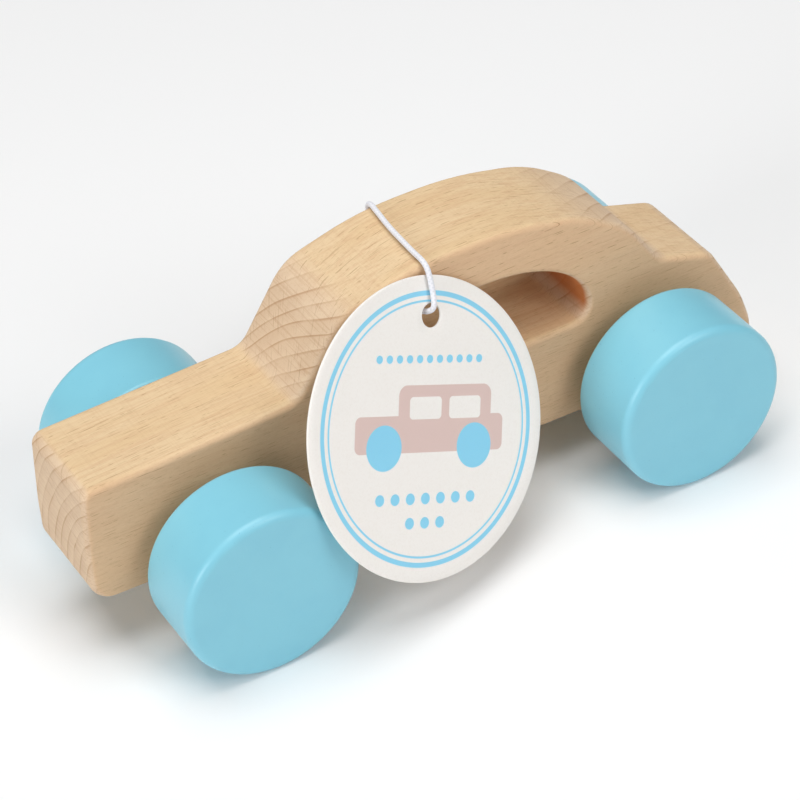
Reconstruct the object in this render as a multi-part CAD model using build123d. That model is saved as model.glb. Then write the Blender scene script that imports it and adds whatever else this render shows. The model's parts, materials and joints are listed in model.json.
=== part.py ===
from build123d import *

import math
import os

# A wooden push-along car. One beech block, cut to the outline of a saloon with a D-shaped
# finger window through the cabin, runs on two dowel axles. Each axle turns in a plain bore
# through the block, and its ends are glued into blind bores in the backs of two solid
# painted wheels, so the outer wheel faces are unbroken. A turned spacer ring on each end
# keeps the wheel off the block. A round card tag hangs on a loop of round cord that goes
# over the roof, down through the tag's hole and back through the window, and is closed by
# a knot on the far side.
#
# Frame: +X to the nose, +Y to the car's left, +Z up, the origin on the ground under the
# middle of the block. Heights on the block are measured from the axle line. Millimetres.

# ------------------------------------------------------------------ wheels and axles
wheel_diameter = 40.0
wheel_width = 18.2
wheel_outer_rounding = 1.8
wheel_inner_rounding = 1.2
axle_diameter = 8.0
axle_chamfer = 0.6
axle_running_clearance = 0.08  # radial, in the block's bores
hub_bore_depth = 12.0  # the wheel's blind bore
glue_room = 0.6  # left at the bottom of that bore
spacer_diameter = 16.0
spacer_thickness = 4.5
spacer_rounding = 0.6
side_play = 0.4  # between a spacer and the block, each side

# ------------------------------------------------------------------ block, along X
bonnet_length = 49.9  # nose to the foot of the windscreen
cabin_length = 89.3  # foot of the windscreen to the notch behind the cabin
boot_length = 23.8  # notch to the tail
front_overhang = 29.9  # nose to the front axle
rear_overhang = 28.9  # tail to the rear axle
nose_lean = 1.0  # how far the top of the nose lies back
windscreen_run = 11.5  # foot to top of the windscreen
roof_front_run = 30.2  # windscreen foot to where the roof is level
roof_rear_run = 37.2  # notch to where the roof stops being level
shoulder_run = 18.7  # notch to the shoulder of the rear slope
rear_window_run = 7.5  # notch to the top of the rear window
lid_run = 10.4  # tail to the rear edge of the boot lid
tail_bulge_run = 2.4  # tail to the fullest point of its slope

# ------------------------------------------------------------------ block, above the axle line
roof_height = 46.9
shoulder_height = 42.6
windscreen_top_height = 41.9
rear_window_top_height = 35.1
windscreen_foot_height = 25.3
nose_top_height = 24.1
notch_height = 24.0
lid_height = 19.7
nose_bulge_height = 7.0
tail_bulge_height = 5.0
tail_upright_height = -2.5
nose_bottom_height = -4.7
tail_bottom_height = -9.7

# ------------------------------------------------------------------ block, section and roundings
body_thickness = 25.0
body_edge_rounding = 1.5
nose_bottom_rounding = 9.0
nose_face_rounding = 60.0
nose_top_rounding = 3.0
windscreen_foot_rounding = 5.0
windscreen_top_rounding = 13.0
roof_front_rounding = 70.0
roof_rear_rounding = 75.0
shoulder_rounding = 36.0
rear_window_rounding = 20.0
notch_rounding = 6.0
lid_rounding = 5.0
tail_bulge_rounding = 25.0
tail_upright_rounding = 12.0
tail_bottom_rounding = 4.0

# ------------------------------------------------------------------ finger window
front_pillar = 13.1  # windscreen foot to the window
rear_pillar = 18.4  # notch to the window
roof_bar = 11.9  # wood left over the window
window_sill_height = 16.1  # above the axle line
window_spring_height = 20.3  # where the arch starts
window_front_arch = 18.0  # length of the arch's front quarter
window_rear_arch = 24.8  # length of its rear quarter
window_corner_rounding = 4.0
window_edge_rounding = 1.3
most_arched = 0.98  # the most of the window's length that its two quarters take
most_rounded = 0.95  # the most of the window's upright sides that its corners take

# ------------------------------------------------------------------ tag
tag_diameter = 63.2
tag_thickness = 0.6
tag_hole_diameter = 5.0
tag_hole_from_centre = 23.3
tag_face = Vector(-0.264, 0.894, 0.363)  # the way the printed face looks
tag_up = Vector(-0.360, -0.440, 0.823)  # from the tag's centre to its hole
cord_off_hole_right = -0.50  # where the cord bears in the hole, from the hole's centre
cord_off_hole_up = 0.90
bearing_behind_wheel = 29.99  # that place, from the front wheel's rearmost point
bearing_off_side = 4.19  # from the block's left side
bearing_under_roof = 8.61  # from the top of the roof

# ------------------------------------------------------------------ cord
cord_diameter = 1.2
knot_diameter = 2.9
knot_length = 3.4
knot_rounding = 1.3
knot_centre = (-1.80, -14.15, 60.60)
knot_tail_length = 4.2
knot_tail_drop = 0.85  # where the tails leave the knot, below its centre
knot_tail_lean = 28.0  # degrees off straight down, one tail each way
arc_share = 0.45  # the share of a run that the arc at each of its ends may take

# From the top of the knot up the far side, over the roof, down in front of the tag, through
# its hole, through the window under the roof bar and up the far side to the knot again.
cord_route = [
    (-1.80, -13.85, 61.60),
    (-1.77, -13.35, 63.60),
    (-1.75, -13.18, 66.26),
    (-1.66, -11.86, 67.56),
    (-1.25, -8.20, 67.66),
    (-0.58, -2.10, 67.50),
    (-0.28, 4.20, 67.58),
    (-0.16, 8.90, 67.48),
    (-0.18, 12.10, 67.58),
    (-0.20, 14.00, 66.70),
    (-0.03, 15.36, 64.34),
    (0.27, 16.50, 61.95),
    (0.62, 17.38, 60.45),
    (0.95, 17.62, 59.45),
    (1.30, 17.20, 58.60),
    (2.10, 15.90, 57.80),
    (2.35, 14.35, 57.35),
    (2.50, 13.45, 55.72),
    (2.50, 12.05, 54.18),
    (2.25, 8.60, 53.98),
    (1.40, 2.80, 53.86),
    (0.00, -3.60, 53.84),
    (-1.15, -8.60, 54.02),
    (-1.68, -11.98, 54.24),
    (-1.76, -13.26, 55.56),
    (-1.77, -13.42, 57.80),
    (-1.80, -13.85, 59.60),
]

# ------------------------------------------------------------------ worked out from the above
body_length = bonnet_length + cabin_length + boot_length
nose_x = body_length / 2
tail_x = -body_length / 2
screen_x = nose_x - bonnet_length
notch_x = tail_x + boot_length
front_axle_x = nose_x - front_overhang
rear_axle_x = tail_x + rear_overhang
axle_z = wheel_diameter / 2
body_side_y = body_thickness / 2
wheel_inner_y = body_side_y + side_play + spacer_thickness
hub_bore_end_y = wheel_inner_y + hub_bore_depth
axle_bore_radius = axle_diameter / 2 + axle_running_clearance
axle_length = 2 * (hub_bore_end_y - glue_room)
bearing_x = front_axle_x - wheel_diameter / 2 - bearing_behind_wheel
bearing_y = body_side_y + bearing_off_side
bearing_z = axle_z + roof_height - bearing_under_roof


def widest_radii(points, wanted, closed):
    """The wanted corner radii, each no larger than the runs on its two sides leave room for."""
    points = [Vector(point) for point in points]
    last = len(points) if closed else len(points) - 1
    radii = []
    for i in range(0 if closed else 1, last):
        before = points[i] - points[i - 1]
        after = points[(i + 1) % len(points)] - points[i]
        half_turn = math.radians(before.get_angle(after) / 2)
        room = arc_share * min(before.length, after.length) / math.tan(half_turn)
        radii.append(min(wanted[len(radii)], room) if wanted else room)
    return radii


def block_outline():
    """The side view of the block: straight runs between rounded corners, nose first."""
    corners = [
        (nose_x, nose_bottom_height, nose_bottom_rounding),
        (nose_x, nose_bulge_height, nose_face_rounding),
        (nose_x - nose_lean, nose_top_height, nose_top_rounding),
        (screen_x, windscreen_foot_height, windscreen_foot_rounding),
        (screen_x - windscreen_run, windscreen_top_height, windscreen_top_rounding),
        (screen_x - roof_front_run, roof_height, roof_front_rounding),
        (notch_x + roof_rear_run, roof_height, roof_rear_rounding),
        (notch_x + shoulder_run, shoulder_height, shoulder_rounding),
        (notch_x + rear_window_run, rear_window_top_height, rear_window_rounding),
        (notch_x, notch_height, notch_rounding),
        (tail_x + lid_run, lid_height, lid_rounding),
        (tail_x + tail_bulge_run, tail_bulge_height, tail_bulge_rounding),
        (tail_x, tail_upright_height, tail_upright_rounding),
        (tail_x, tail_bottom_height, tail_bottom_rounding),
    ]
    points = [(x, axle_z + height) for x, height, _ in corners]
    radii = widest_radii(points, [rounding for _, _, rounding in corners], closed=True)
    return make_face(FilletPolyline(*points, radius=radii, close=True))


def window_outline():
    """The finger window's side view: a level sill, rounded lower corners and an arch of two
    quarter ellipses with a level stretch between them."""
    front = screen_x - front_pillar
    rear = notch_x + rear_pillar
    sill = axle_z + window_sill_height
    spring = axle_z + window_spring_height
    crown = axle_z + roof_height - roof_bar
    shorten = min(1.0, most_arched * (front - rear) / (window_front_arch + window_rear_arch))
    front_run = window_front_arch * shorten
    rear_run = window_rear_arch * shorten
    rise = crown - spring
    outline = [
        Line((rear, spring), (rear, sill)),
        Line((rear, sill), (front, sill)),
        Line((front, sill), (front, spring)),
        EllipticalCenterArc((front - front_run, spring), front_run, rise, start_angle=0, arc_size=90),
        Line((front - front_run, crown), (rear + rear_run, crown)),
        EllipticalCenterArc((rear + rear_run, spring), rear_run, rise, start_angle=90, arc_size=90),
    ]
    opening = make_face(outline)
    lower_corners = opening.vertices().sort_by(Axis.Y)[:2]
    rounding = min(window_corner_rounding, most_rounded * (spring - sill))
    return fillet(lower_corners, rounding)


def make_body():
    """The block: outline, window and axle bores, with every outer edge rounded over."""
    upright = Plane.XZ.offset(-body_side_y)
    block = extrude(upright * block_outline(), body_thickness)
    sides = block.faces().sort_by(Axis.Y)
    block = fillet(sides[0].edges() + sides[-1].edges(), body_edge_rounding)
    block -= extrude(upright * window_outline(), body_thickness)
    sides = block.faces().sort_by(Axis.Y)
    rims = [edge for side in (sides[0], sides[-1]) for edge in side.inner_wires()[0].edges()]
    block = fillet(rims, window_edge_rounding)
    for x in (front_axle_x, rear_axle_x):
        block -= Pos(x, 0, axle_z) * Rot(90, 0, 0) * Cylinder(axle_bore_radius, body_thickness)
    return block


def make_axle(x):
    """A dowel across the car, chamfered at both ends."""
    dowel = Rot(90, 0, 0) * Cylinder(axle_diameter / 2, axle_length)
    ends = dowel.edges().filter_by(GeomType.CIRCLE)
    return Pos(x, 0, axle_z) * chamfer(ends, axle_chamfer)


def make_wheel(x, side):
    """A solid wheel with a blind bore in its inner face. side is 1 on the left, -1 on the right."""
    facing = Pos(x, side * wheel_inner_y, axle_z) * Rot(-90 * side, 0, 0)
    wheel = Cylinder(wheel_diameter / 2, wheel_width, align=(Align.CENTER, Align.CENTER, Align.MIN))
    rims = wheel.edges().filter_by(GeomType.CIRCLE).sort_by(Axis.Z)
    wheel = fillet(rims[-1], wheel_outer_rounding)
    inner_rim = wheel.edges().filter_by(GeomType.CIRCLE).sort_by(Axis.Z)[0]
    wheel = fillet(inner_rim, wheel_inner_rounding)
    bore = Cylinder(axle_diameter / 2, hub_bore_depth, align=(Align.CENTER, Align.CENTER, Align.MIN))
    return facing * (wheel - bore)


def make_spacer(x, side):
    """A ring on the axle, against the wheel's inner face."""
    facing = Pos(x, side * wheel_inner_y, axle_z) * Rot(90 * side, 0, 0)
    ring = Cylinder(spacer_diameter / 2, spacer_thickness, align=(Align.CENTER, Align.CENTER, Align.MIN))
    free_rim = ring.edges().filter_by(GeomType.CIRCLE).sort_by(Axis.Z)[-1]
    ring = fillet(free_rim, spacer_rounding)
    bore = Cylinder(axle_diameter / 2, spacer_thickness, align=(Align.CENTER, Align.CENTER, Align.MIN))
    return facing * (ring - bore)


def make_tag():
    """A round card with one punched hole. Its place follows from where the cord bears in the hole."""
    right = tag_up.cross(tag_face).normalized()
    bearing = Vector(bearing_x, bearing_y, bearing_z)
    bearing_up = tag_hole_from_centre + cord_off_hole_up
    centre = bearing - right * cord_off_hole_right - tag_up.normalized() * bearing_up
    card_plane = Plane(origin=centre, x_dir=right, z_dir=tag_face)
    card = Cylinder(tag_diameter / 2, tag_thickness)
    hole = Pos(0, tag_hole_from_centre, 0) * Cylinder(tag_hole_diameter / 2, 2 * tag_thickness)
    return card_plane * (card - hole)


def make_cord():
    """A round tube along the route, its straight runs joined by tangent arcs."""
    radii = widest_radii(cord_route, None, closed=False)
    print("cord radii", [round(radius, 2) for radius in radii])
    path = FilletPolyline(*cord_route, radius=radii)
    section = Plane(origin=path @ 0, z_dir=path % 0) * Circle(cord_diameter / 2)
    tube = sweep(section, path=path)
    section_area = math.pi * cord_diameter**2 / 4
    print("cord length", round(path.length, 2), "volume share", tube.volume / (section_area * path.length))
    return tube


def make_knot():
    """The knot that closes the loop: a rounded lump with the cord's two cut ends hanging from it."""
    lump = Cylinder(knot_diameter / 2, knot_length)
    rims = lump.edges().filter_by(GeomType.CIRCLE)
    lump = fillet(rims, knot_rounding)
    for lean in (-knot_tail_lean, knot_tail_lean):
        tail = Cylinder(cord_diameter / 2, knot_tail_length, align=(Align.CENTER, Align.CENTER, Align.MAX))
        lump += Pos(0, 0, -knot_tail_drop) * Rot(0, lean, 0) * tail
    return Pos(*knot_centre) * lump


def main():
    nodes = {
        "body": make_body(),
        "swing_tag": make_tag(),
        "tag_cord": make_cord(),
        "tag_cord_knot": make_knot(),
    }
    for end, x in (("front", front_axle_x), ("rear", rear_axle_x)):
        nodes[f"{end}_axle"] = make_axle(x)
        for hand, side in (("left", 1), ("right", -1)):
            nodes[f"{end}_{hand}_wheel"] = make_wheel(x, side)
            nodes[f"{end}_{hand}_spacer"] = make_spacer(x, side)
    os.makedirs("parts", exist_ok=True)
    for name, shape in nodes.items():
        export_step(shape, f"parts/{name}.step")


main()
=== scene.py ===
"""A wooden push-along car with a swing tag: finishes, cord, knot, card, floor, lights and camera.

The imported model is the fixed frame. Its block, wheels, dowels and spacers keep their shapes and
get finishes. The card, the cord and the knot are surfaces of their own in the same places.
Metres; +X to the nose, +Y to the car's left, +Z up, the floor at zero.
"""

from __future__ import annotations

import json
import logging
import math
from dataclasses import dataclass
from enum import Enum
from typing import Any

import bpy
import numpy as np
from mathutils import Matrix, Vector

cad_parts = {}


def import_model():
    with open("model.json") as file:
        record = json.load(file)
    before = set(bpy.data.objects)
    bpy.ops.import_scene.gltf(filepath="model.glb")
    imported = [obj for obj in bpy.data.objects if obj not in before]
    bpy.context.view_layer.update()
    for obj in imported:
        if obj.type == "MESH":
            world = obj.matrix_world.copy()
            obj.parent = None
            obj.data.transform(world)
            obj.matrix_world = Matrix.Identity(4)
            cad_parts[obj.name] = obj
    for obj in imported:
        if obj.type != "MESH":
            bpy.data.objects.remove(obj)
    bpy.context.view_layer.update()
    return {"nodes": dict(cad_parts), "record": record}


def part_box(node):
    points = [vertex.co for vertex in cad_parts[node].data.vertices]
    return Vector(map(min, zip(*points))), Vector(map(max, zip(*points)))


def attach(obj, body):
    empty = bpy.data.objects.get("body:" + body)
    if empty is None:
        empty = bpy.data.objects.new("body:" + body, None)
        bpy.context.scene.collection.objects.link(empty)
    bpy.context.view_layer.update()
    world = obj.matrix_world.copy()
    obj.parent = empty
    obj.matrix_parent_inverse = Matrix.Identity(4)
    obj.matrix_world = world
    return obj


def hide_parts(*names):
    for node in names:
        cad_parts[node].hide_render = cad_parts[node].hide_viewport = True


LOG = logging.getLogger("push_along_car")
MM = 0.001
NOISE_ROUGHNESS = 0.55
FEWEST_STEPS = 8


# ---------------------------------------------------------------------------------- colours


@dataclass(frozen=True)
class Colour:
    """A colour as it looks on a screen: red, green and blue from 0 to 255."""

    red: float
    green: float
    blue: float

    def linear(self) -> tuple[float, float, float, float]:
        """The colour as light, for a shader's socket."""
        parts = []
        for part in (self.red, self.green, self.blue):
            share = part / 255
            parts.append(share / 12.92 if share <= 0.04045 else ((share + 0.055) / 1.055) ** 2.4)
        return (parts[0], parts[1], parts[2], 1.0)


# ---------------------------------------------------------------------------------- shader maths


class Value:
    """A number that differs from point to point of a surface. Arithmetic on it adds Math nodes."""

    def __init__(self, graph: ShaderGraph, socket: bpy.types.NodeSocket) -> None:
        """Wraps a socket of a graph."""
        self.graph = graph
        self.socket = socket

    def math(self, operation: str, *terms: Any) -> Value:
        """One Math node with these terms, numbers or values."""
        return self.graph.value("ShaderNodeMath", {"operation": operation}, dict(enumerate(terms)))

    def __add__(self, other: Any) -> Value:
        """self + other"""
        return self.math("ADD", self, other)

    def __radd__(self, other: Any) -> Value:
        """other + self"""
        return self.math("ADD", other, self)

    def __sub__(self, other: Any) -> Value:
        """self - other"""
        return self.math("SUBTRACT", self, other)

    def __rsub__(self, other: Any) -> Value:
        """other - self"""
        return self.math("SUBTRACT", other, self)

    def __mul__(self, other: Any) -> Value:
        """self * other"""
        return self.math("MULTIPLY", self, other)

    def __rmul__(self, other: Any) -> Value:
        """other * self"""
        return self.math("MULTIPLY", other, self)

    def __truediv__(self, other: Any) -> Value:
        """self / other"""
        return self.math("DIVIDE", self, other)

    def __rtruediv__(self, other: Any) -> Value:
        """other / self"""
        return self.math("DIVIDE", other, self)

    def __abs__(self) -> Value:
        """The size of self, without its sign."""
        return self.math("ABSOLUTE", self)

    def most(self, other: Any) -> Value:
        """The larger of self and other."""
        return self.math("MAXIMUM", self, other)

    def least(self, other: Any) -> Value:
        """The smaller of self and other."""
        return self.math("MINIMUM", self, other)

    def root(self) -> Value:
        """The square root."""
        return self.math("SQRT", self)

    def rounded(self) -> Value:
        """The nearest whole number."""
        return self.math("ROUND", self)

    def angle(self, other: Any) -> Value:
        """The angle, in radians, of a point that is self up and other along."""
        return self.math("ARCTAN2", self, other)

    def fraction(self) -> Value:
        """What is left over a whole number."""
        return self.math("FRACT", self)

    def rise(self, low: float, high: float) -> Value:
        """A smooth step: 0 up to low, 1 from high on."""
        settings = {"interpolation_type": "SMOOTHSTEP"}
        return self.graph.value("ShaderNodeMapRange", settings, {0: self, 1: low, 2: high})


class ShaderGraph:
    """The nodes of one material."""

    def __init__(self, name: str) -> None:
        """A material with an empty node tree.

        Args:
            name: the finish's name.
        """
        self.material = bpy.data.materials.new(name)
        self.material.use_nodes = True
        self.tree = self.material.node_tree
        self.tree.nodes.clear()

    def node(self, kind: str, settings: dict[str, Any], inputs: dict[Any, Any]) -> bpy.types.Node:
        """Adds a node.

        Args:
            kind: the node's type.
            settings: its own settings, set first.
            inputs: numbers, colours, sockets or values, by the input's name or number.

        Returns:
            The node.
        """
        node = self.tree.nodes.new(kind)
        for name, setting in settings.items():
            setattr(node, name, setting)
        for key, term in inputs.items():
            source = term.socket if isinstance(term, Value) else term
            if isinstance(source, bpy.types.NodeSocket):
                self.tree.links.new(source, node.inputs[key])
            else:
                node.inputs[key].default_value = source
        return node

    def value(self, kind: str, settings: dict[str, Any], inputs: dict[Any, Any]) -> Value:
        """Adds a node and returns its first output as a value."""
        return Value(self, self.node(kind, settings, inputs).outputs[0])

    def place(self) -> bpy.types.NodeSocket:
        """The surface point in the piece's own frame, in millimetres."""
        point = self.node("ShaderNodeTexCoord", {}, {}).outputs["Object"]
        settings = {"operation": "SCALE"}
        return self.node("ShaderNodeVectorMath", settings, {0: point, "Scale": 1 / MM}).outputs[0]

    def parts(self, vector: bpy.types.NodeSocket) -> tuple[Value, Value, Value]:
        """A vector's three parts."""
        split = self.node("ShaderNodeSeparateXYZ", {}, {0: vector})
        return tuple(Value(self, socket) for socket in split.outputs)

    def noise(self, x: Any, y: Any, z: Any, detail: float, seed: float) -> Value:
        """Cloudy noise about 0.5, one lump to each unit of x, y and z.

        Args:
            x, y, z: where to read it, already divided by the lumps' sizes.
            detail: how many finer layers are added.
            seed: a shift that makes one noise unlike another.

        Returns:
            The noise, mostly from 0.3 to 0.7.
        """
        spot = self.node("ShaderNodeCombineXYZ", {}, {0: x, 1: y, 2: z}).outputs[0]
        shift = (seed, 2 * seed, -seed)
        moved = self.node("ShaderNodeVectorMath", {"operation": "ADD"}, {0: spot, 1: shift}).outputs[0]
        inputs = {"Vector": moved, "Scale": 1.0, "Detail": detail, "Roughness": NOISE_ROUGHNESS}
        return self.value("ShaderNodeTexNoise", {}, inputs)

    def blend(self, share: Any, first: Any, second: Any) -> bpy.types.NodeSocket:
        """A colour between first and second: share is how much of second it has."""
        inputs = {0: share, 6: first, 7: second}
        return self.node("ShaderNodeMix", {"data_type": "RGBA"}, inputs).outputs[2]

    def relief(self, height: Value, strength: float, depth: float) -> bpy.types.NodeSocket:
        """A bumped normal.

        Args:
            height: the pattern, 0 to 1.
            strength: how far it is followed, 0 to 1.
            depth: how high 1 stands, in millimetres.

        Returns:
            The normal's socket.
        """
        inputs = {"Strength": strength, "Distance": depth * MM, "Height": height}
        return self.node("ShaderNodeBump", {}, inputs).outputs[0]

    def finish(self, inputs: dict[str, Any]) -> bpy.types.Material:
        """Joins a principled shader with these inputs to the output and returns the material."""
        shader = self.node("ShaderNodeBsdfPrincipled", {}, inputs)
        self.node("ShaderNodeOutputMaterial", {}, {"Surface": shader.outputs[0]})
        return self.material


# ---------------------------------------------------------------------------------- finishes


class Grain(Enum):
    """The way a wooden piece's fibres run."""

    LENGTHWISE = (0, 1, 2)
    CROSSWISE = (1, 0, 2)


@dataclass(frozen=True)
class Lumps:
    """Cloudy noise. size is how big its lumps are in three directions, in millimetres. What it
    marks begins to show where the noise is over the first of its edges, and is full at the
    second."""

    size: tuple[float, float, float]
    detail: float
    seed: float
    edges: tuple[float, float] = (0.0, 1.0)

    def read(self, graph: ShaderGraph, place: tuple[Value, Value, Value]) -> Value:
        """The noise at a place, about 0.5."""
        x, y, z = (part / size for part, size in zip(place, self.size))
        return graph.noise(x, y, z, self.detail, self.seed)


@dataclass(frozen=True)
class Cover:
    """How much of a colour a wood pattern lays on, from 0 to 1: its share on every face, and
    what the flanks and the sawn ends add to it."""

    usual: float
    flank: float = 0.0
    end: float = 0.0

    def share(self, flank: Value, end: Value) -> Value:
        """The share at a point, by how much it is flank and how much end."""
        return self.usual + flank * self.flank + end * self.end


@dataclass(frozen=True)
class Rays:
    """The wood's rays: thin upright lenses, one to a cell. Sizes along the fibres, across the ray
    and outwards from the tree's middle, in millimetres. Lengths and strengths are the least and
    what chance adds."""

    cell: tuple[float, float, float]
    half: tuple[float, float, float]
    seed: float
    lengths: tuple[float, float] = (0.40, 1.5)
    strengths: tuple[float, float] = (0.25, 0.75)
    solid_part: float = 0.45

    def mask(self, graph: ShaderGraph, place: tuple[Value, Value, Value], slant: Value) -> Value:
        """1 in the middle of a lens. The distance from its centre, each part over half its size.

        Args:
            graph: the material's nodes.
            place: where it is read: along, across and outwards.
            slant: the sine of the angle between the face and the rays. A lens is thinned by it,
                so that it is equally wide on every face.

        Returns:
            The mask. Lenses differ in length and in strength.
        """
        x, y, z = (part / size + self.seed for part, size in zip(place, self.cell))
        spot = graph.node("ShaderNodeCombineXYZ", {}, {0: x, 1: y, 2: z}).outputs[0]
        cell = graph.node("ShaderNodeTexVoronoi", {"feature": "F1"}, {"Vector": spot, "Scale": 1.0})
        chance, other, _ = graph.parts(cell.outputs["Color"])
        centre = graph.parts(cell.outputs["Position"])
        long, thin, tall = (
            (here - middle) * (size / half)
            for here, middle, size, half in zip((x, y, z), centre, self.cell, self.half)
        )
        shortest, longer = self.lengths
        weakest, stronger = self.strengths
        long = long / (shortest + chance * chance * longer)
        thin = thin / slant
        away = (long * long + thin * thin + tall * tall).root()
        return (1 - away.rise(self.solid_part, 1.0)) * (weakest + other * stronger)


@dataclass(frozen=True)
class BeechFinish:
    """Bare beech, sanded: a pale ground with faint streaks, short dark dashes where the rays come to
    the face and, on sawn ends, the rays' full height, the yearly rings and the saw's fine lines. The
    flanks are darker and pinker, which is painted shade on the side faces. The walls of the window
    carry painted shade and are darker, and its sill less so. Lengths in millimetres."""

    name: str
    grain: Grain
    window: tuple[tuple[float, float, float], ...] = ()
    pith: tuple[float, float] = (38.0, 9.0)
    pale: Colour = Colour(230, 203, 163)
    golden: Colour = Colour(223, 191, 146)
    rosy: Colour = Colour(214, 176, 138)
    # painted shade on the side faces: darker and pinker than the top
    flank: Colour = Colour(219, 179, 144)
    end_grain: Colour = Colour(226, 203, 177)
    dash: Colour = Colour(146, 98, 56)
    ring: Colour = Colour(176, 132, 94)
    # painted shade for the window's walls and, more faintly, its sill
    painted_window_shade: Colour = Colour(194, 110, 48)

    end_facing: tuple[float, float] = (0.16, 0.68)
    flank_facing: tuple[float, float] = (0.35, 0.95)
    usual_radius: float = 50.0
    drift: Lumps = Lumps((60.0, 30.0, 30.0), 1.0, 3.1)
    drift_reach: float = 2.0
    clouds: Lumps = Lumps((50.0, 7.0, 7.0), 2.0, 11.3, (0.36, 0.68))
    streaks: Lumps = Lumps((16.0, 0.6, 0.9), 3.0, 5.7, (0.40, 0.70))
    fibres: Lumps = Lumps((1.8, 0.14, 0.20), 2.0, 8.9, (0.48, 0.78))
    patches: Lumps = Lumps((30.0, 9.0, 4.0), 1.0, 21.7, (0.38, 0.62))
    saw: Lumps = Lumps((0.36, 16.0, 0.36), 1.0, 9.4, (0.52, 0.66))
    short_rays: Rays = Rays((3.1, 0.78, 4.6), (1.55, 0.085, 2.5), 17.3)
    broad_rays: Rays = Rays((12.0, 2.3, 13.0), (4.2, 0.11, 6.5), 31.9)
    thinnest_slant: float = 0.04
    ring_spacing: float = 2.9
    ring_waver: Lumps = Lumps((50.0, 22.0, 9.0), 1.0, 4.4)
    ring_starts: tuple[float, float] = (0.80, 0.96)

    cloud_share: float = 0.55
    streak_share: float = 0.50
    flank_shade_share: float = 0.60
    end_share: float = 0.70
    fibre_share: float = 0.18
    patch_share: float = 0.10
    ring_shares: tuple[float, float] = (0.14, 0.46)
    saw_cover: Cover = Cover(0.06, end=0.16)
    year_cover: Cover = Cover(0.04, end=0.14)
    broad_cover: Cover = Cover(0.35, end=0.15)
    short_cover: Cover = Cover(0.62, flank=0.14, end=-0.24)

    # where the window's painted shade reaches, and how strong it is on the sill and on the walls
    window_past_ends: float = 9.0
    window_past_sill: float = 1.5
    window_past_crown: float = 3.5
    window_margin: float = 0.8
    sill_height: float = 3.0
    sill_shade_share: float = 0.12
    wall_shade_share: float = 0.76

    fibre_height: float = 0.4
    saw_height: float = 0.3
    short_depth: float = 0.8
    broad_depth: float = 0.6
    relief: float = 0.5
    relief_depth: float = 0.04
    roughness: float = 0.55
    fibre_roughness: float = 0.16
    gloss: float = 0.2

    def painted_window_shade_share(self, place: tuple[Value, Value, Value]) -> Value:
        """How much painted shade the window's walls get: by how deep a point lies between the two
        flanks, near the opening's box, and less on the sill."""
        low, high = (tuple(part / MM for part in corner) for corner in self.window)
        x, y, z = place
        within_x = (x - (low[0] - self.window_past_ends)).least(high[0] + self.window_past_ends - x)
        within_z = (z - (low[2] - self.window_past_sill)).least(high[2] + self.window_past_crown - z)
        depth = (high[1] - abs(y)).rise(self.window_margin, 4 * self.window_margin)
        walls = depth * within_x.rise(0.0, 1.0) * within_z.rise(0.0, self.window_margin)
        return walls * (self.sill_shade_share + (z - low[2]).rise(0.0, self.sill_height) * self.wall_shade_share)

    def material(self) -> bpy.types.Material:
        """Builds the finish.

        The rings are circles about the pith, and a ray runs straight out from it. So the wood is
        read along the fibres, across the rays, as a length at the usual radius, and outwards.
        """
        graph = ShaderGraph(self.name)
        place = graph.parts(graph.place())
        facing = graph.parts(graph.node("ShaderNodeTexCoord", {}, {}).outputs["Normal"])
        along, side, up = (place[i] for i in self.grain.value)
        facing_along, facing_side, facing_up = (facing[i] for i in self.grain.value)
        end = abs(facing_along).rise(*self.end_facing)
        flank = abs(facing_side).rise(*self.flank_facing)

        drift = (self.drift.read(graph, (along, side, up)) - 0.5) * self.drift_reach
        beside = self.pith[0] - side + drift
        above = up - self.pith[1] + drift
        outwards = (beside * beside + above * above).root()
        wood = (along, above.angle(beside) * self.usual_radius, outwards)
        flat_on = abs(facing_side * above + facing_up * beside) / outwards
        slant = (1 - flat_on * flat_on).most(self.thinnest_slant).root()

        clouds = self.clouds.read(graph, wood).rise(*self.clouds.edges)
        streaks = self.streaks.read(graph, wood).rise(*self.streaks.edges)
        fibres = self.fibres.read(graph, wood)
        patches = self.patches.read(graph, wood).rise(*self.patches.edges)
        saw = self.saw.read(graph, (along, side, up))
        short = self.short_rays.mask(graph, wood, slant)
        broad = self.broad_rays.mask(graph, wood, slant)
        late = (outwards / self.ring_spacing + self.ring_waver.read(graph, wood)).fraction()
        rings = late.rise(*self.ring_starts) * (1 - late.rise(self.ring_starts[1], 1.0))
        saw_share = saw.rise(*self.saw.edges) * self.saw_cover.share(flank, end)
        year_share = late * self.year_cover.share(flank, end) + patches * end * self.patch_share
        faintest, stronger = self.ring_shares
        ring_share = rings * end * (faintest + patches * stronger)

        colour = graph.blend(clouds * self.cloud_share, self.pale.linear(), self.golden.linear())
        colour = graph.blend(streaks * self.streak_share, colour, self.rosy.linear())
        # painted shade: the side faces take the darker, pinker flank colour
        colour = graph.blend(flank * self.flank_shade_share, colour, self.flank.linear())
        colour = graph.blend(end * self.end_share, colour, self.end_grain.linear())
        fibre_share = fibres.rise(*self.fibres.edges) * self.fibre_share
        colour = graph.blend(fibre_share, colour, self.dash.linear())
        for share in (saw_share, year_share, ring_share):
            colour = graph.blend(share, colour, self.ring.linear())
        for rays, cover in ((broad, self.broad_cover), (short, self.short_cover)):
            colour = graph.blend(rays * cover.share(flank, end), colour, self.dash.linear())
        if self.window:
            # painted shade in the window: the walls darker, the sill less
            colour = graph.blend(self.painted_window_shade_share(place), colour, self.painted_window_shade.linear())

        raised = fibres * self.fibre_height + saw * end * self.saw_height
        sunk = short * self.short_depth + broad * self.broad_depth
        return graph.finish(
            {
                "Base Color": colour,
                "Roughness": self.roughness + fibres * self.fibre_roughness,
                "Normal": graph.relief(raised - sunk, self.relief, self.relief_depth),
                "Specular IOR Level": self.gloss,
            }
        )


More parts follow.
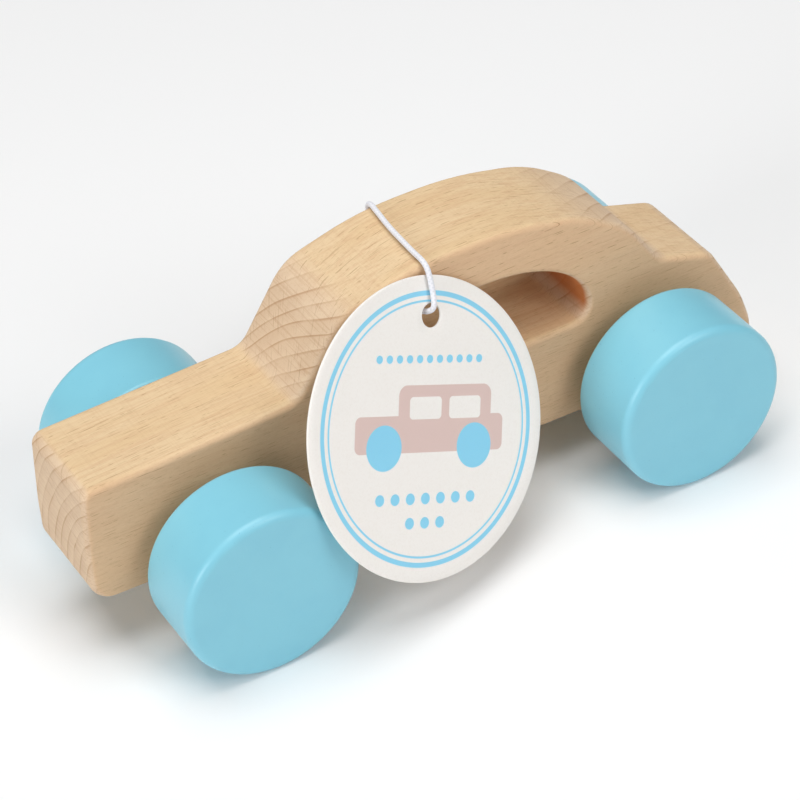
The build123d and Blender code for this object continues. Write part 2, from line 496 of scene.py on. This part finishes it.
@dataclass(frozen=True)
class PaintFinish:
    """Satin paint on turned wood: even colour, a soft orange peel and a few specks of dust."""

    name: str = "sky_blue_paint"
    body: Colour = Colour(132, 203, 222)
    thin: Colour = Colour(130, 201, 221)
    speck: Colour = Colour(84, 140, 164)
    coats: Lumps = Lumps((9.0, 9.0, 9.0), 2.0, 2.3, (0.35, 0.7))
    peel: Lumps = Lumps((0.8, 0.8, 0.8), 2.0, 7.1)
    dust: Lumps = Lumps((0.32, 0.32, 0.32), 0.0, 4.9, (0.82, 0.88))
    dust_share: float = 0.5
    dust_height: float = 0.6
    relief: float = 0.30
    relief_depth: float = 0.02
    roughness: float = 0.36
    peel_roughness: float = 0.10
    coat: float = 0.22
    coat_roughness: float = 0.22

    def material(self) -> bpy.types.Material:
        """Builds the finish."""
        graph = ShaderGraph(self.name)
        place = graph.parts(graph.place())
        coats = self.coats.read(graph, place).rise(*self.coats.edges)
        peel = self.peel.read(graph, place)
        dust = self.dust.read(graph, place).rise(*self.dust.edges)
        colour = graph.blend(coats, self.body.linear(), self.thin.linear())
        colour = graph.blend(dust * self.dust_share, colour, self.speck.linear())
        height = peel + dust * self.dust_height
        return graph.finish(
            {
                "Base Color": colour,
                "Roughness": self.roughness + peel * self.peel_roughness,
                "Normal": graph.relief(height, self.relief, self.relief_depth),
                "Coat Weight": self.coat,
                "Coat Roughness": self.coat_roughness,
            }
        )


@dataclass(frozen=True)
class PrintedBlock:
    """A filled block of the print with rounded corners, in millimetres from the card's centre."""

    right: float
    up: float
    half_width: float
    half_height: float
    rounding: float

    def mask(self, u: Value, v: Value, softness: float) -> Value:
        """1 inside the block. The distance outside its corners' centres, less the rounding."""
        beyond_u = (abs(u - self.right) - (self.half_width - self.rounding)).most(0.0)
        beyond_v = (abs(v - self.up) - (self.half_height - self.rounding)).most(0.0)
        beyond = (beyond_u * beyond_u + beyond_v * beyond_v).root()
        return 1 - beyond.rise(self.rounding - softness, self.rounding + softness)


@dataclass(frozen=True)
class PrintedRow:
    """A row of equal dots, evenly spaced about the card's upright middle line."""

    up: float
    count: int
    spacing: float
    radius: float

    def mask(self, u: Value, v: Value, softness: float) -> Value:
        """1 on a dot. u is taken from the nearest dot's centre, and the row ends after its last
        dot."""
        shift = 0.0 if self.count % 2 else 0.5
        step = u / self.spacing - shift
        off = (step - step.rounded()) * self.spacing
        rise = v - self.up
        away = (off * off + rise * rise).root()
        dots = 1 - away.rise(self.radius - softness, self.radius + softness)
        reach = self.count * self.spacing / 2
        return dots * (1 - abs(u).rise(reach - softness, reach + softness))


@dataclass(frozen=True)
class CardFinish:
    """Uncoated card with a two-colour print: a thick and a thin ring, a plain wagon of blocks on
    two discs, and three rows of dots. The map's first part is millimetres to the right."""

    name: str = "printed_card"
    stock: Colour = Colour(247, 243, 238)
    fibre: Colour = Colour(238, 232, 225)
    blue: Colour = Colour(141, 214, 243)
    pink: Colour = Colour(222, 196, 189)
    flock: Lumps = Lumps((0.5, 0.5, 0.5), 3.0, 1.3, (0.42, 0.72))
    blotches: Lumps = Lumps((7.0, 7.0, 7.0), 1.0, 5.2)
    flock_share: float = 0.30
    blotch_share: float = 0.12
    ink_grain: float = 0.16
    ink_seed: float = 3.3
    ink_cover: tuple[float, float] = (0.93, 0.10)
    relief: float = 0.25
    relief_depth: float = 0.03
    roughness: float = 0.72
    flock_roughness: float = 0.15
    gloss: float = 0.3
    softness: float = 0.07
    rings: tuple[tuple[float, float], ...] = ((27.92, 0.52), (26.32, 0.22))
    bodywork: tuple[PrintedBlock, ...] = (
        PrintedBlock(0.6, -0.9, 20.0, 3.8, 1.4),
        PrintedBlock(4.6, 4.9, 12.6, 4.2, 2.2),
    )
    panes: tuple[PrintedBlock, ...] = (
        PrintedBlock(-0.7, 4.4, 4.3, 2.3, 0.9),
        PrintedBlock(10.0, 4.4, 4.3, 2.3, 0.9),
    )
    discs: tuple[PrintedBlock, ...] = (
        PrintedBlock(-11.6, -3.6, 4.7, 4.7, 4.7),
        PrintedBlock(12.8, -3.6, 4.7, 4.7, 4.7),
    )
    rows: tuple[PrintedRow, ...] = (
        PrintedRow(14.4, 11, 2.70, 0.85),
        PrintedRow(-14.2, 7, 4.10, 1.20),
        PrintedRow(-19.2, 3, 4.10, 1.20),
    )

    def material(self) -> bpy.types.Material:
        """Builds the finish."""
        graph = ShaderGraph(self.name)
        u, v, _ = graph.parts(graph.node("ShaderNodeUVMap", {"uv_map": "card"}, {}).outputs[0])
        place = graph.parts(graph.place())
        flock = self.flock.read(graph, place)
        blotches = self.blotches.read(graph, place)
        grainy = graph.noise(u / self.ink_grain, v / self.ink_grain, 0.0, 1.0, self.ink_seed)

        radius = (u * u + v * v).root()
        blue = u * 0.0
        for middle, half_width in self.rings:
            edge = abs(radius - middle)
            blue = blue.most(1 - edge.rise(half_width - self.softness, half_width + self.softness))
        for shape in self.discs + self.rows:
            blue = blue.most(shape.mask(u, v, self.softness))
        pink = u * 0.0
        for block in self.bodywork:
            pink = pink.most(block.mask(u, v, self.softness))
        for pane in self.panes:
            pink = pink * (1 - pane.mask(u, v, self.softness))
        thinnest, thicker = self.ink_cover
        cover = thinnest + grainy * thicker

        fibrous = flock.rise(*self.flock.edges) * self.flock_share + blotches * self.blotch_share
        colour = graph.blend(fibrous, self.stock.linear(), self.fibre.linear())
        colour = graph.blend((pink * cover).least(1.0), colour, self.pink.linear())
        colour = graph.blend((blue * cover).least(1.0), colour, self.blue.linear())
        return graph.finish(
            {
                "Base Color": colour,
                "Roughness": self.roughness + flock * self.flock_roughness,
                "Normal": graph.relief(flock, self.relief, self.relief_depth),
                "Specular IOR Level": self.gloss,
            }
        )


@dataclass(frozen=True)
class CordFinish:
    """White plaited cord: the strands' crowns are bright, and the valleys between them are greyer with
    painted shade.
    """

    name: str = "white_cord"
    crown: Colour = Colour(233, 233, 239)
    # painted shade in the valleys between the strands
    painted_valley_shade: Colour = Colour(219, 221, 228)
    crown_edges: tuple[float, float] = (0.1, 0.8)
    fluff: Lumps = Lumps((0.12, 0.12, 0.12), 2.0, 6.6)
    relief: float = 0.3
    relief_depth: float = 0.02
    roughness: float = 0.62
    fluff_roughness: float = 0.2
    sheen: float = 0.15
    gloss: float = 0.3

    def material(self) -> bpy.types.Material:
        """Builds the finish from the strand height that the mesh carries."""
        graph = ShaderGraph(self.name)
        strand = graph.node("ShaderNodeAttribute", {"attribute_name": "strand"}, {})
        height = Value(graph, strand.outputs["Fac"])
        fluff = self.fluff.read(graph, graph.parts(graph.place()))
        crowns = height.rise(*self.crown_edges)
        # painted shade: the valleys greyer than the crowns
        colour = graph.blend(crowns, self.painted_valley_shade.linear(), self.crown.linear())
        return graph.finish(
            {
                "Base Color": colour,
                "Roughness": self.roughness + fluff * self.fluff_roughness,
                "Normal": graph.relief(fluff, self.relief, self.relief_depth),
                "Sheen Weight": self.sheen,
                "Specular IOR Level": self.gloss,
            }
        )


@dataclass(frozen=True)
class FloorFinish:
    """A plain pale studio floor."""

    name: str = "pale_floor"
    tone: Colour = Colour(247, 247, 247)
    clouds: Lumps = Lumps((400.0, 400.0, 1.0), 1.0, 2.0)
    roughness: float = 0.85
    cloud_roughness: float = 0.05
    gloss: float = 0.1

    def material(self) -> bpy.types.Material:
        """Builds the finish."""
        graph = ShaderGraph(self.name)
        clouds = self.clouds.read(graph, graph.parts(graph.place()))
        return graph.finish(
            {
                "Base Color": self.tone.linear(),
                "Roughness": self.roughness + clouds * self.cloud_roughness,
                "Specular IOR Level": self.gloss,
            }
        )


# ---------------------------------------------------------------------------------- surfaces


def surface(name: str, grid: np.ndarray, wrap_rows: bool, poles: bool) -> bpy.types.Object:
    """A smooth mesh on a grid of points whose columns always close on themselves.

    Args:
        name: the piece's name.
        grid: rows x columns x 3, in metres.
        wrap_rows: True if the last row joins the first.
        poles: True if the first and the last row are each one point.

    Returns:
        The object, in the scene. It carries the number of the grid point at each of its points.
    """
    rows, columns = grid.shape[:2]
    numbers = np.arange(rows * columns).reshape(rows, columns)
    if poles:
        numbers[0] = numbers[0, 0]
        numbers[-1] = numbers[-1, 0]
    below = numbers if wrap_rows else numbers[:-1]
    above = np.roll(numbers, -1, axis=0) if wrap_rows else numbers[1:]
    beside, diagonal = (np.roll(row, -1, axis=1) for row in (below, above))
    quads = np.stack([below, beside, diagonal, above], axis=-1)
    faces = [list(dict.fromkeys(quad)) for quad in quads.reshape(-1, 4).tolist()]
    mesh = bpy.data.meshes.new(name)
    used, renumbered = np.unique(numbers, return_inverse=True)
    place = dict(zip(numbers.reshape(-1).tolist(), renumbered.reshape(-1).tolist()))
    faces = [[place[i] for i in face] for face in faces]
    mesh.from_pydata(grid.reshape(-1, 3)[used].tolist(), [], faces)
    mesh.validate()
    mesh.polygons.foreach_set("use_smooth", np.ones(len(mesh.polygons), bool))
    mesh["point_numbers"] = used.tolist()
    piece = bpy.data.objects.new(name, mesh)
    bpy.context.scene.collection.objects.link(piece)
    return piece


def put_on(piece: bpy.types.Object, material: bpy.types.Material) -> None:
    """Dresses a new piece."""
    piece.data.materials.append(material)


def redress(node: bpy.types.Object, material: bpy.types.Material) -> None:
    """Puts a finish into a frame node's material slots."""
    for place in node.material_slots:
        place.material = material


def spline_points(name: str, route: list[tuple[float, float, float]], smoothness: int) -> np.ndarray:
    """Points along the open NURBS line of order 3 that a route controls.

    Args:
        name: a name for the line.
        route: its control points, in metres.
        smoothness: how many points each of its spans gives.

    Returns:
        The points, n x 3.
    """
    curve = bpy.data.curves.new(name, "CURVE")
    curve.dimensions = "3D"
    spline = curve.splines.new("NURBS")
    spline.points.add(len(route) - 1)
    for point, at in zip(spline.points, route):
        point.co = (*at, 1.0)
    spline.order_u = 3
    spline.use_endpoint_u = True
    spline.resolution_u = smoothness
    curve.resolution_u = smoothness
    carrier = bpy.data.objects.new(name, curve)
    line = bpy.data.meshes.new_from_object(carrier)
    points = np.empty(len(line.vertices) * 3)
    line.vertices.foreach_get("co", points)
    bpy.data.objects.remove(carrier)
    bpy.data.meshes.remove(line)
    bpy.data.curves.remove(curve)
    return points.reshape(-1, 3)


def evenly(points: np.ndarray, step: float) -> np.ndarray:
    """The same line with points a step apart: each coordinate read against the distance run."""
    run = np.concatenate([[0.0], np.cumsum(np.linalg.norm(np.diff(points, axis=0), axis=1))])
    steps = max(FEWEST_STEPS, int(round(run[-1] / step)))
    places = np.linspace(0.0, run[-1], steps + 1)
    return np.stack([np.interp(places, run, points[:, axis]) for axis in range(3)], axis=1)


@dataclass(frozen=True)
class Plait:
    """A plaited round cord, laid along a line. Lengths in metres."""

    diameter: float
    strands: int = 6
    pitch: float = 2.6 * MM
    depth: float = 0.03 * MM
    around: int = 36
    step: float = 0.07 * MM
    end_rounding: float = 0.35 * MM
    first_way: tuple[float, float, float] = (0.31, 0.22, 0.93)

    def tube(self, line: np.ndarray, flare: float = 0.0) -> tuple[np.ndarray, np.ndarray]:
        """The cord's skin: circles square to the line, turned as little as possible from one to
        the next. The strands are two sets of helices, one wound each way. A point's radius is the
        cord's, less the depth where neither crown passes, and it falls to nothing at the ends as
        the square root of the distance left.

        Args:
            line: points along the middle of the cord, n x 3.
            flare: how much wider the far end is, as a share, as on a cut end that frays.

        Returns:
            The grid, rows x around x 3, and the strands' height from 0 to 1 at each point.
        """
        centres = evenly(line, self.step)
        forward = np.gradient(centres, axis=0)
        forward /= np.linalg.norm(forward, axis=1, keepdims=True)
        sideways = np.empty_like(centres)
        start = np.cross(forward[0], self.first_way)
        sideways[0] = start / np.linalg.norm(start)
        for i in range(1, len(centres)):
            kept = sideways[i - 1] - forward[i] * (sideways[i - 1] @ forward[i])
            sideways[i] = kept / np.linalg.norm(kept)
        upward = np.cross(forward, sideways)

        run = np.arange(len(centres))[:, None] * np.linalg.norm(centres[1] - centres[0])
        angle = np.linspace(0, 2 * math.pi, self.around, endpoint=False)[None, :]
        turn = 2 * math.pi * run / self.pitch
        left = np.cos(self.strands / 2 * (angle + turn))
        right = np.cos(self.strands / 2 * (angle - turn))
        crowns = np.maximum(left, right)
        height = (crowns - crowns.min()) / (crowns.max() - crowns.min())
        total = run[-1, 0]
        near_end = np.minimum(run, total - run) / self.end_rounding
        taper = np.sqrt(np.clip(near_end * (2 - near_end), 0, 1))
        taper[near_end >= 1] = 1.0
        widening = 1 + flare * (run / total) ** 3
        radius = (self.diameter / 2 - self.depth * (1 - height)) * taper * widening
        across = np.cos(angle)[..., None] * sideways[:, None]
        ring = across + np.sin(angle)[..., None] * upward[:, None]
        return centres[:, None] + radius[..., None] * ring, height

    def piece(self, name: str, line: np.ndarray, flare: float = 0.0) -> bpy.types.Object:
        """The cord along a line as a closed mesh that carries its strands' height."""
        grid, height = self.tube(line, flare)
        cord = surface(name, grid, wrap_rows=False, poles=True)
        used = np.array(cord.data["point_numbers"])
        strand = cord.data.attributes.new("strand", "FLOAT", "POINT")
        strand.data.foreach_set("value", height.reshape(-1)[used].astype(np.float32))
        return cord


# ---------------------------------------------------------------------------------- cord and knot


@dataclass
class TagCord:
    """The loop of cord over the roof, through the tag and back through the window, with its knot."""

    diameter: float = 1.2 * MM
    length: float = 79.0 * MM
    route: tuple[tuple[float, float, float], ...] = (
        (-0.00180, -0.01385, 0.06160),
        (-0.00177, -0.01335, 0.06360),
        (-0.00175, -0.01318, 0.06626),
        (-0.00166, -0.01186, 0.06756),
        (-0.00125, -0.00820, 0.06766),
        (-0.00058, -0.00210, 0.06750),
        (-0.00028, 0.00420, 0.06758),
        (-0.00016, 0.00890, 0.06748),
        (-0.00018, 0.01210, 0.06758),
        (-0.00020, 0.01400, 0.06670),
        (-0.00003, 0.01536, 0.06434),
        (0.00027, 0.01650, 0.06195),
        (0.00062, 0.01738, 0.06045),
        (0.00095, 0.01762, 0.05945),
        (0.00130, 0.01720, 0.05860),
        (0.00210, 0.01590, 0.05780),
        (0.00235, 0.01435, 0.05735),
        (0.00250, 0.01345, 0.05572),
        (0.00250, 0.01205, 0.05418),
        (0.00225, 0.00860, 0.05398),
        (0.00140, 0.00280, 0.05386),
        (0.00000, -0.00360, 0.05384),
        (-0.00115, -0.00860, 0.05402),
        (-0.00168, -0.01198, 0.05424),
        (-0.00176, -0.01326, 0.05556),
        (-0.00177, -0.01342, 0.05780),
        (-0.00180, -0.01385, 0.05960),
    )
    spans: int = 24
    knot_middle: tuple[float, float, float] = (-0.00180, -0.01418, 0.06060)
    lobe: float = 0.43 * MM
    weave: float = 0.72 * MM
    knot_turn: float = 2 * math.pi * 0.985
    knot_points: int = 160
    tail_drop: float = 0.85 * MM
    tail_length: float = 4.1 * MM
    tail_lean: float = math.radians(28)
    tail_leans: tuple[float, float] = (0.85, 0.35)
    tail_back: float = 0.05
    tail_flare: float = 0.12
    tail_points: int = 24

    def build(self, finish: bpy.types.Material, tag: bpy.types.Object) -> None:
        """Args:
            finish: the cord's material.
            tag: the card that hangs on it. Not used.
        """
        plait = Plait(self.diameter)
        line = spline_points("tag_cord_line", list(self.route), self.spans)
        cord = plait.piece("cord_loop", line)
        put_on(cord, finish)
        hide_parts("tag_cord")
        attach(cord, "car_body")
        LOG.info("cord_loop: %d points", len(cord.data.vertices))

        knot = self.knot(plait)
        put_on(knot, finish)
        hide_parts("tag_cord_knot")
        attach(knot, "car_body")
        LOG.info("cord_knot: %d points", len(knot.data.vertices))
        evenly(line, self.diameter / 4).tolist()

    def knot(self, plait: Plait) -> bpy.types.Object:
        """An overhand knot pulled tight, and the cord's two cut ends.

        The knot's line is a trefoil: across it runs sin t + 2 sin 2t and cos t - 2 cos 2t, and it
        weaves in and out by sin 3t. Each cut end runs down and away and leans more as it goes.

        Args:
            plait: the cord that it is tied in.

        Returns:
            One object of three closed tubes.
        """
        middle = np.array(self.knot_middle)
        t = np.linspace(0.0, self.knot_turn, self.knot_points)
        trefoil = np.stack(
            [
                self.lobe * (np.sin(t) + 2 * np.sin(2 * t)),
                -self.weave * np.sin(3 * t),
                self.lobe * (np.cos(t) - 2 * np.cos(2 * t)),
            ],
            axis=1,
        )
        pieces = [plait.piece("cord_knot", middle + trefoil)]
        start = middle - np.array((0.0, 0.0, self.tail_drop))
        first_lean, more_lean = self.tail_leans
        for side in (-1, 1):
            s = np.linspace(0.0, 1.0, self.tail_points)
            lean = self.tail_lean * (first_lean + more_lean * s)
            parts = [side * np.sin(lean) * s, -self.tail_back * s * s, -np.cos(lean) * s]
            line = start + self.tail_length * np.stack(parts, axis=1)
            pieces.append(plait.piece("cut_end", line, self.tail_flare))
        with bpy.context.temp_override(active_object=pieces[0], selected_editable_objects=pieces):
            bpy.ops.object.join()
        return pieces[0]


# ---------------------------------------------------------------------------------- the tag


@dataclass
class SwingTag:
    """The round card: two flat faces, slightly bowed, with softened edges and a punched hole.
    Lengths in millimetres, in the card's own plane: right, up and off the printed face."""

    diameter: float = 63.2
    thickness: float = 0.6
    hole_diameter: float = 5.0
    hole_up: float = 23.3
    face: tuple[float, float, float] = (-0.264, 0.894, 0.363)
    up: tuple[float, float, float] = (-0.360, -0.440, 0.823)
    edge: float = 0.16
    edge_squareness: float = 0.7
    bow: float = 0.10
    columns: int = 192
    face_rows: int = 20
    edge_rows: int = 5

    def centre(self) -> Vector:
        """The middle of the card, which is the middle of its frame node's box."""
        low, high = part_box("swing_tag")
        return (low + high) / 2

    def profile(self) -> tuple[np.ndarray, np.ndarray, np.ndarray]:
        """The card's section, once round: how far each row is from the hole to the rim, how far
        it is pulled back from that circle, and how far it stands off the middle plane. A face
        runs straight from circle to circle, and an edge is a half of an oval.

        Returns:
            The share of the way from hole to rim, the pull outwards and the height of each row.
        """
        half = self.thickness / 2
        share = np.linspace(0.0, 1.0, self.face_rows)
        turn = np.linspace(0.0, math.pi, self.edge_rows + 2)[1:-1]
        bulge = self.edge * np.sin(turn) - self.edge
        drop = half * np.sign(np.cos(turn)) * np.abs(np.cos(turn)) ** self.edge_squareness
        at_rim, at_hole = np.ones(self.edge_rows), np.zeros(self.edge_rows)
        face = np.full(self.face_rows, half)
        inwards = self.edge * (1 - 2 * share)
        along = np.concatenate([share, at_rim, share[::-1], at_hole])
        pull = np.concatenate([inwards, bulge, inwards[::-1], -bulge])
        height = np.concatenate([face, drop, -face, -drop])
        return along, pull, height

    def build(self, finish: bpy.types.Material) -> bpy.types.Object:
        """Makes the card.

        A row is a circle between the hole's and the rim's: its centre and its radius both run in
        proportion. The bow lifts a point by the square of its distance from the upright middle.

        Args:
            finish: the printed card's material.

        Returns:
            The card.
        """
        along, pull, height = (part[:, None] for part in self.profile())
        angle = np.linspace(0, 2 * math.pi, self.columns, endpoint=False)[None, :]
        rim = self.diameter / 2
        radius = (1 - along) * self.hole_diameter / 2 + along * rim + pull
        right = radius * np.cos(angle)
        up = (1 - along) * self.hole_up + radius * np.sin(angle)
        off = height + self.bow * ((right / rim) ** 2 - 0.5)

        face_way = Vector(self.face).normalized()
        up_way = (Vector(self.up) - face_way * Vector(self.up).dot(face_way)).normalized()
        right_way = up_way.cross(face_way)
        ways = np.array([right_way, up_way, face_way])
        grid = np.array(self.centre()) + MM * np.stack([right, up, off], axis=-1) @ ways
        card = surface("tag_card", grid, wrap_rows=True, poles=False)
        self.map_print(card, np.stack([right, up], axis=-1))
        put_on(card, finish)
        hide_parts("swing_tag")
        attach(card, "tag")
        LOG.info("tag_card: %d points", len(card.data.vertices))
        return card

    def map_print(self, card: bpy.types.Object, plane: np.ndarray) -> None:
        """Gives the printed face its place on the card in millimetres, and sets the back and the
        edges a long way off, where nothing is printed.

        Args:
            card: the card's object.
            plane: right and up of every grid point.
        """
        mesh = card.data
        corners = np.empty(len(mesh.loops), int)
        mesh.loops.foreach_get("vertex_index", corners)
        spots = plane.reshape(-1, 2)[corners]
        starts = np.empty(len(mesh.polygons), int)
        mesh.polygons.foreach_get("loop_start", starts)
        rows = np.arange(len(mesh.polygons)) // self.columns
        blank = np.repeat(rows >= self.face_rows - 1, 4)
        spots[blank, 0] += 4 * self.diameter
        layer = mesh.uv_layers.new(name="card")
        layer.data.foreach_set("uv", spots.reshape(-1))


# ---------------------------------------------------------------------------------- the car itself


@dataclass
class WoodenCar:
    """The frame's own nodes: the block, the four wheels, the dowels and the spacers. window is
    the lowest and the highest corner of the box that the window leaves free, in metres.
    dowel_pith is the middle of the tree that the dowels came from, in millimetres from theirs."""

    window: tuple[tuple[float, float, float], ...]
    paint: PaintFinish = PaintFinish()
    dowel_pith: tuple[float, float] = (0.0, -40.0)

    def dress(self, nodes: dict[str, bpy.types.Object]) -> None:
        """Gives each node its finish.

        Args:
            nodes: the frame's nodes by name.
        """
        block = BeechFinish("beech_block", Grain.LENGTHWISE, self.window).material()
        turned = BeechFinish("turned_beech", Grain.CROSSWISE, pith=self.dowel_pith).material()
        paint = self.paint.material()
        redress(nodes["body"], block)
        for end in ("front", "rear"):
            redress(nodes[f"{end}_axle"], turned)
            for hand in ("left", "right"):
                redress(nodes[f"{end}_{hand}_wheel"], paint)
                redress(nodes[f"{end}_{hand}_spacer"], turned)
        LOG.info("dressed %d nodes", len(nodes))


# ---------------------------------------------------------------------------------- studio


@dataclass
class StudioCamera:
    """A long lens, looking down on the car's left from ahead. Angles in degrees."""

    azimuth: float = 152.754
    elevation: float = 38.164
    roll: float = -4.939
    target: tuple[float, float, float] = (0.00140, 0.0, 0.02421)
    distance: float = 0.6686
    lens: float = 140.51
    nearest: float = 0.01

    def build(self) -> None:
        """Makes the camera. It looks back along its own Z, which is the way out to its azimuth
        and elevation, and is then turned about that way by the roll."""
        angles = (self.azimuth, self.elevation, self.roll)
        azimuth, elevation, roll = (math.radians(angle) for angle in angles)
        back = Vector(
            (
                math.sin(azimuth) * math.cos(elevation),
                -math.cos(azimuth) * math.cos(elevation),
                math.sin(elevation),
            )
        )
        right = Vector((0, 0, 1)).cross(back).normalized()
        up = back.cross(right)
        rolled_right = right * math.cos(roll) + up * math.sin(roll)
        rolled_up = up * math.cos(roll) - right * math.sin(roll)
        data = bpy.data.cameras.new("studio_camera")
        data.lens = self.lens
        data.clip_start = self.nearest
        camera = bpy.data.objects.new("studio_camera", data)
        turn = Matrix((rolled_right, rolled_up, back)).transposed().to_4x4()
        camera.matrix_world = Matrix.Translation(Vector(self.target) + back * self.distance) @ turn
        bpy.context.scene.collection.objects.link(camera)
        bpy.context.scene.camera = camera


@dataclass(frozen=True)
class Softbox:
    """A square soft light, aimed at the car. Metres."""

    name: str
    place: tuple[float, float, float]
    side: float
    watts: float
    aim: tuple[float, float, float] = (0.0, 0.0, 0.03)

    def build(self) -> None:
        """Makes the light."""
        data = bpy.data.lights.new(self.name, "AREA")
        data.shape = "SQUARE"
        data.size = self.side
        data.energy = self.watts
        lamp = bpy.data.objects.new(self.name, data)
        way = Vector(self.aim) - Vector(self.place)
        turn = way.to_track_quat("-Z", "Y").to_matrix().to_4x4()
        lamp.matrix_world = Matrix.Translation(self.place) @ turn
        bpy.context.scene.collection.objects.link(lamp)


@dataclass
class Studio:
    """A pale floor, soft lights overhead, ahead of the nose and on the car's left, and white
    surroundings."""

    floor_side: float = 6.0
    surroundings: float = 0.17
    lights: tuple[Softbox, ...] = (
        Softbox("overhead_softbox", (0.10, 0.00, 1.30), 1.00, 12.0),
        Softbox("nose_side_softbox", (1.20, 0.40, 0.45), 0.50, 6.0),
        Softbox("left_softbox", (-0.40, 1.05, 0.95), 0.70, 6.0),
    )

    def build(self) -> None:
        """Makes the floor, the lights and the world."""
        half = self.floor_side / 2
        corners = [(-half, -half, 0.0), (half, -half, 0.0), (half, half, 0.0), (-half, half, 0.0)]
        mesh = bpy.data.meshes.new("floor")
        mesh.from_pydata(corners, [], [(0, 1, 2, 3)])
        floor = bpy.data.objects.new("floor", mesh)
        bpy.context.scene.collection.objects.link(floor)
        put_on(floor, FloorFinish().material())
        for softbox in self.lights:
            softbox.build()
        world = bpy.data.worlds.new("white_surroundings")
        world.use_nodes = True
        light = world.node_tree.nodes["Background"]
        light.inputs["Color"].default_value = (1.0, 1.0, 1.0, 1.0)
        light.inputs["Strength"].default_value = self.surroundings
        bpy.context.scene.world = world
        bpy.context.scene.view_settings.view_transform = "Standard"


def main() -> None:
    """Loads the frame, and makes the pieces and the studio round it."""
    logging.basicConfig(level=logging.INFO, format="%(name)s: %(message)s")
    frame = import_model()
    StudioCamera().build()
    tag = SwingTag().build(CardFinish().material())
    TagCord().build(CordFinish().material(), tag)
    opening = frame["record"]["physics"]["openings"][0]["box_m"]
    WoodenCar(tuple(tuple(corner) for corner in opening)).dress(frame["nodes"])
    Studio().build()


if __name__ == "__main__":
    main()
